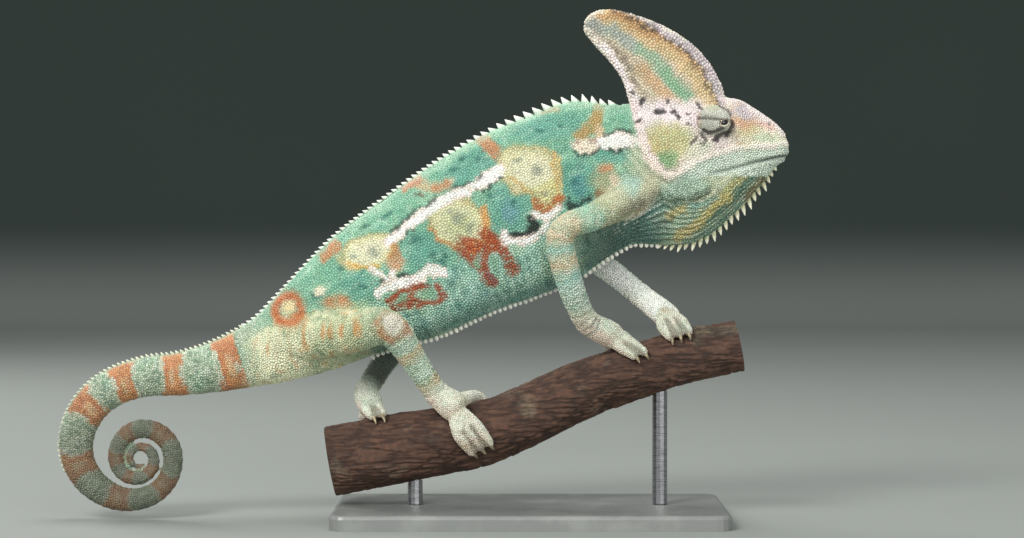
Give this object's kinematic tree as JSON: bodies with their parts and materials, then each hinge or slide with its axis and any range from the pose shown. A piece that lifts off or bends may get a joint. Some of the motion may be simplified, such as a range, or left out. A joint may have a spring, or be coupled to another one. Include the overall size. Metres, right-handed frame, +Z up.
{
  "type": "veiled chameleon model",
  "caption": "Life-size still model of a veiled chameleon walking up a short cut branch, its tail rolled, on a flat display stand with two rods.",
  "frame": {"origin": "centre of the underside of the stand's base plate", "axes": "+X the way the animal faces, +Z up, -Y the animal's right side"},
  "size_m": [0.2923, 0.092, 0.204],
  "materials": {
    "body_skin": "small pebbly scales painted teal green with cream, orange and pinkish white markings, satin",
    "head_skin": "scales painted pale pinkish cream, ochre and green, satin",
    "tail_skin": "small scales painted pale green with rust-orange bands, satin",
    "limb_skin": "small scales painted mint and tan bands, satin",
    "claws": "horn-coloured, smooth",
    "eyes": "dark, glossy",
    "bark": "rough reddish-brown bark with pale cut ends",
    "stand_paint": "satin light grey",
    "stand_steel": "brushed"
  },
  "bodies": {
    "root": {"casque": "head_skin", "eye_left": "eyes", "eye_right": "eyes", "eye_turret_left": "head_skin", "eye_turret_right": "head_skin", "foot_left": "limb_skin", "foot_left_claw_1": "claws", "foot_left_claw_2": "claws", "foot_left_claw_3": "claws", "foot_left_claw_4": "claws", "foot_left_claw_5": "claws", "foot_right": "limb_skin", "foot_right_claw_1": "claws", "foot_right_claw_2": "claws", "foot_right_claw_3": "claws", "foot_right_claw_4": "claws", "foot_right_claw_5": "claws", "forearm_left": "limb_skin", "forearm_right": "limb_skin", "hand_left": "limb_skin", "hand_left_claw_1": "claws", "hand_left_claw_2": "claws", "hand_left_claw_3": "claws", "hand_left_claw_4": "claws", "hand_left_claw_5": "claws", "hand_right": "limb_skin", "hand_right_claw_1": "claws", "hand_right_claw_2": "claws", "hand_right_claw_3": "claws", "hand_right_claw_4": "claws", "hand_right_claw_5": "claws", "head": "head_skin", "neck": "body_skin", "perch_branch": "bark", "shin_left": "limb_skin", "shin_right": "limb_skin", "stand_base": "stand_paint", "stand_rod_front": "stand_steel", "stand_rod_rear": "stand_steel", "tail_bend": "tail_skin", "tail_roll_inner": "tail_skin", "tail_roll_outer": "tail_skin", "tail_root": "tail_skin", "tail_top": "tail_skin", "tail_underside": "tail_skin", "thigh_left": "limb_skin", "thigh_right": "limb_skin", "throat": "head_skin", "trunk": "body_skin", "upper_arm_left": "limb_skin", "upper_arm_right": "limb_skin"}
  },
  "joints": []
}
